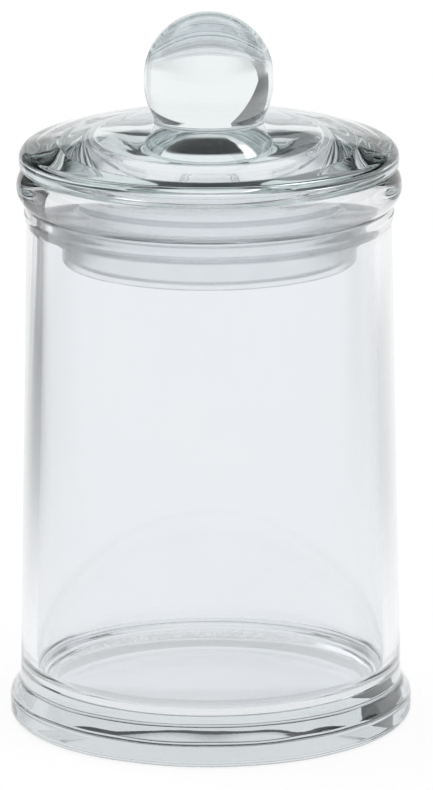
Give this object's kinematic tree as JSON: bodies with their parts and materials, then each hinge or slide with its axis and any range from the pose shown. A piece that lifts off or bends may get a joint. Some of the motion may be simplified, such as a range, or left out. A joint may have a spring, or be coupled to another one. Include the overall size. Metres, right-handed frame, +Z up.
{
  "type": "specimen jar",
  "caption": "Cylindrical clear glass specimen jar on a heavy rounded foot, closed by a domed lid with a ball knob and a ribbed soft seal; the lid lifts off and turns.",
  "frame": {"origin": "centre of the foot's underside, on the surface the jar stands on", "axes": "+Z up along the axis that every piece is turned about; any horizontal direction can be the front"},
  "size_m": [0.075, 0.075, 0.134],
  "materials": {
    "jar_glass": "clear fire-polished glass, faint green-grey tint in the thick foot",
    "lid_glass": "clear fire-polished glass",
    "knob_glass": "clear solid glass ball",
    "seal": "milky translucent soft plastic, satin"
  },
  "bodies": {
    "jar": {"jar_body": "jar_glass"},
    "seal": {"seal_sleeve": "seal"},
    "lid": {"lid_disc": "lid_glass", "ball_knob": "knob_glass"}
  },
  "joints": [
    {"name": "lid_lift", "type": "slide", "parent": "jar", "child": "seal", "axis": [0, 0, 1], "range_m": [0, 0.08]},
    {"name": "lid_turn", "type": "hinge", "parent": "seal", "child": "lid", "pos_m": [0, 0, 0.105], "axis": [0, 0, 1], "continuous": true}
  ]
}
